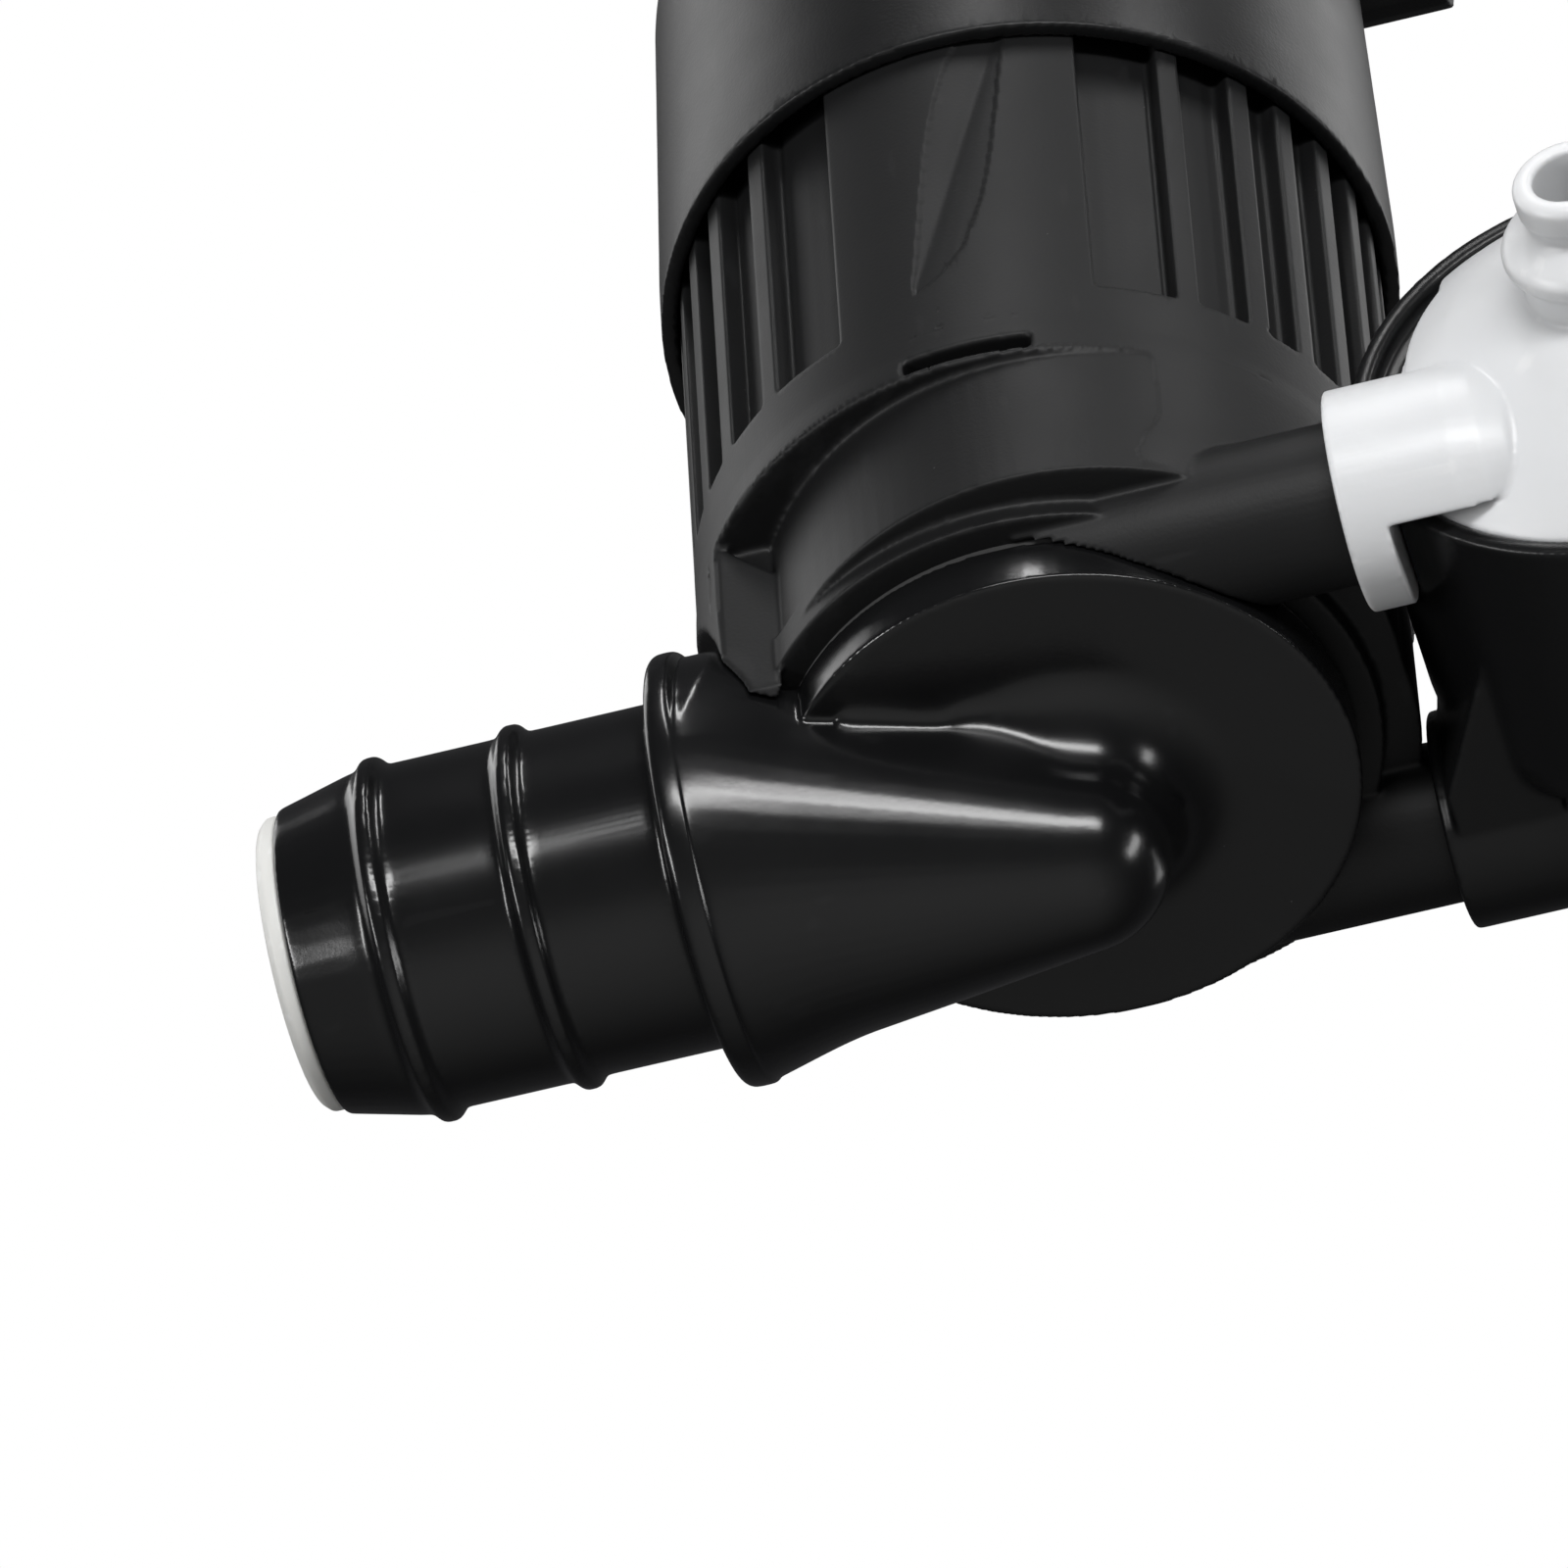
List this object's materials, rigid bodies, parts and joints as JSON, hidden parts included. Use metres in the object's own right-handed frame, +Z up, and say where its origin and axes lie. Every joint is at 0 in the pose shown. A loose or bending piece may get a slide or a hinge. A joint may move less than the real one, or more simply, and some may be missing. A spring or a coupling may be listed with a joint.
{
  "type": "twin outlet washer pump",
  "caption": "Upright motor pump with a barbed inlet spigot, a horn-shaped inlet cover and a side valve that opens one of two hose nozzles.",
  "frame": {"origin": "on the inlet spigot's axis, midway between its two seal beads", "axes": "-X out of the spigot's mouth, +X from the spigot into the pump, +Z up along the motor's axis; the white front valve cover faces -Y"},
  "size_m": [0.0815, 0.0408, 0.0812],
  "materials": {
    "housing_black": "satin, lightly textured",
    "cap_black": "satin, lightly textured",
    "cover_black": "semi-gloss",
    "valve_black": "satin",
    "valve_white": "semi-gloss natural plastic",
    "strainer_white": "satin natural plastic",
    "black_rubber": "dull",
    "can_steel": "zinc plated",
    "magnet_grey": "sintered",
    "end_bell_cream": "satin",
    "carbon": "dull",
    "spring_brass": "stamped",
    "terminal_tin": "tin plated",
    "bush_bronze": "sintered bronze",
    "shaft_steel": "ground",
    "core_steel": "laminated",
    "coil_copper": "enamelled wire",
    "comm_copper": "machined",
    "impeller_cream": "satin",
    "washer_white": "satin"
  },
  "bodies": {
    "pump_body": {"lower_housing": "housing_black", "motor_cap": "cap_black", "bottom_cover": "cover_black", "cover_gasket": "black_rubber", "cap_seal": "black_rubber", "inlet_strainer": "strainer_white", "valve_bowl": "valve_black", "valve_cover": "valve_white", "diaphragm_web": "black_rubber", "front_outlet_seal": "black_rubber", "rear_outlet_seal": "black_rubber", "shaft_seal": "black_rubber", "motor_can": "can_steel", "magnet_left": "magnet_grey", "magnet_right": "magnet_grey", "brush_plate": "end_bell_cream", "brush_front": "carbon", "brush_rear": "carbon", "brush_arm_front": "spring_brass", "brush_arm_rear": "spring_brass", "terminal_front": "terminal_tin", "terminal_rear": "terminal_tin", "lower_bush": "bush_bronze", "upper_bush": "bush_bronze"},
    "rotor": {"motor_shaft": "shaft_steel", "armature_core": "core_steel", "windings": "coil_copper", "commutator": "comm_copper", "impeller": "impeller_cream", "lower_washer": "washer_white", "upper_washer": "washer_white"},
    "shuttle": {"diaphragm_disc": "black_rubber"}
  },
  "joints": [
    {"name": "rotor_spin", "type": "hinge", "parent": "pump_body", "child": "rotor", "pos_m": [0.0288, 0, 0.02], "axis": [0, 0, 1], "continuous": true},
    {"name": "shuttle_slide", "type": "slide", "parent": "pump_body", "child": "shuttle", "axis": [0, -1, 0], "range_m": [-0.0007, 0.0007], "stiffness_N_per_m": 50}
  ]
}
